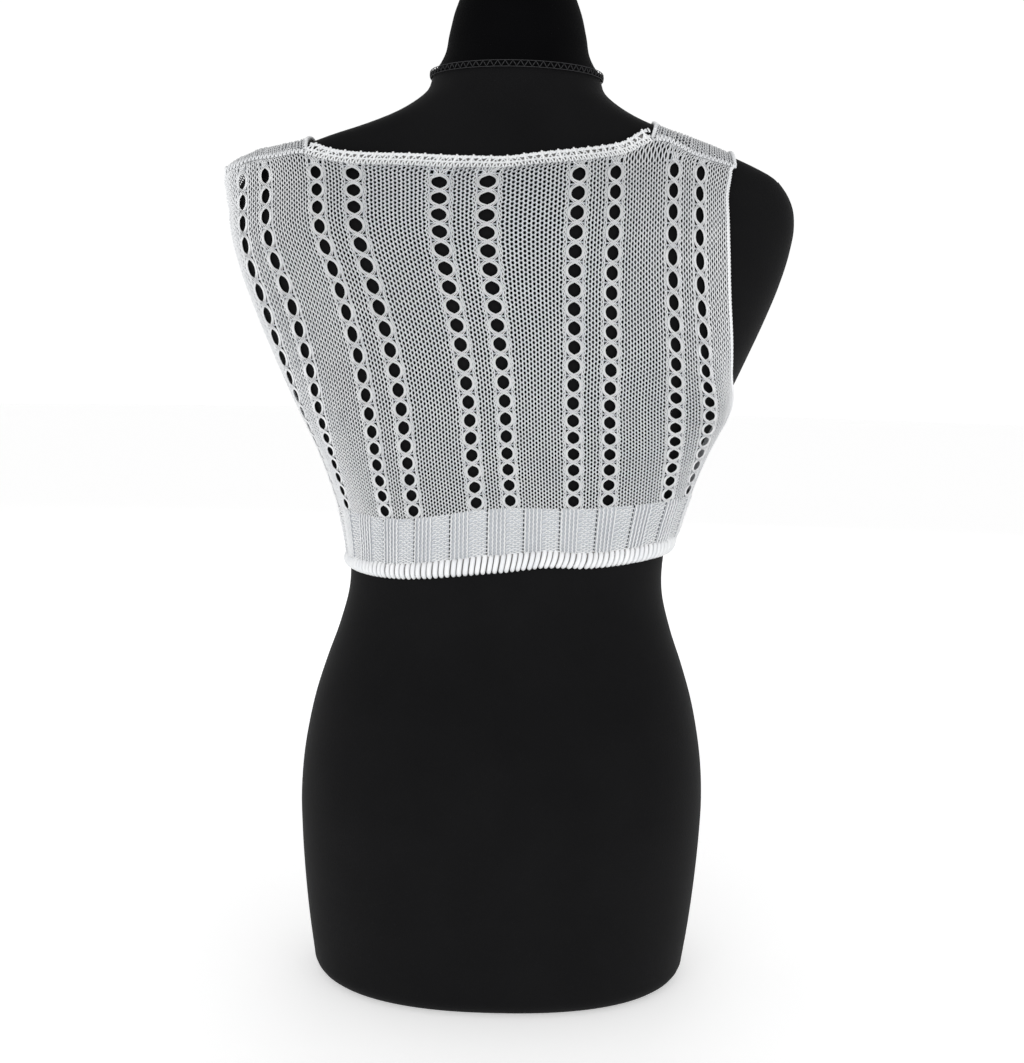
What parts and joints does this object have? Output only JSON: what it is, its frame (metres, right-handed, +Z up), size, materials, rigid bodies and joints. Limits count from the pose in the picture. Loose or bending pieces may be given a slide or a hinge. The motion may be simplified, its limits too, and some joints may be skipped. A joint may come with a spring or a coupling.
{
  "type": "knit crop top on a limbless dress form",
  "caption": "Sleeveless white lace-knit crop top with a wide boat neck and ribbed waist, worn by a charcoal jersey dress form without limbs that stands on its flat base.",
  "frame": {"origin": "centre of the flat base of the dress form", "axes": "+Z up through the neck; +Y is the front of the torso, and the back of the top faces -Y; +X is the wearer's right side"},
  "size_m": [0.419, 0.2435, 0.753],
  "materials": {
    "charcoal_jersey": "matt knitted jersey cover",
    "white_cotton": "matt cotton-like knitting yarn"
  },
  "bodies": {
    "root": {"form_torso": "charcoal_jersey", "form_neck_cap": "charcoal_jersey", "back_panel": "white_cotton", "front_panel": "white_cotton", "back_rib_band": "white_cotton", "front_rib_band": "white_cotton", "back_hem_edge": "white_cotton", "front_hem_edge": "white_cotton", "back_neck_edge": "white_cotton", "front_neck_edge": "white_cotton"}
  },
  "joints": []
}
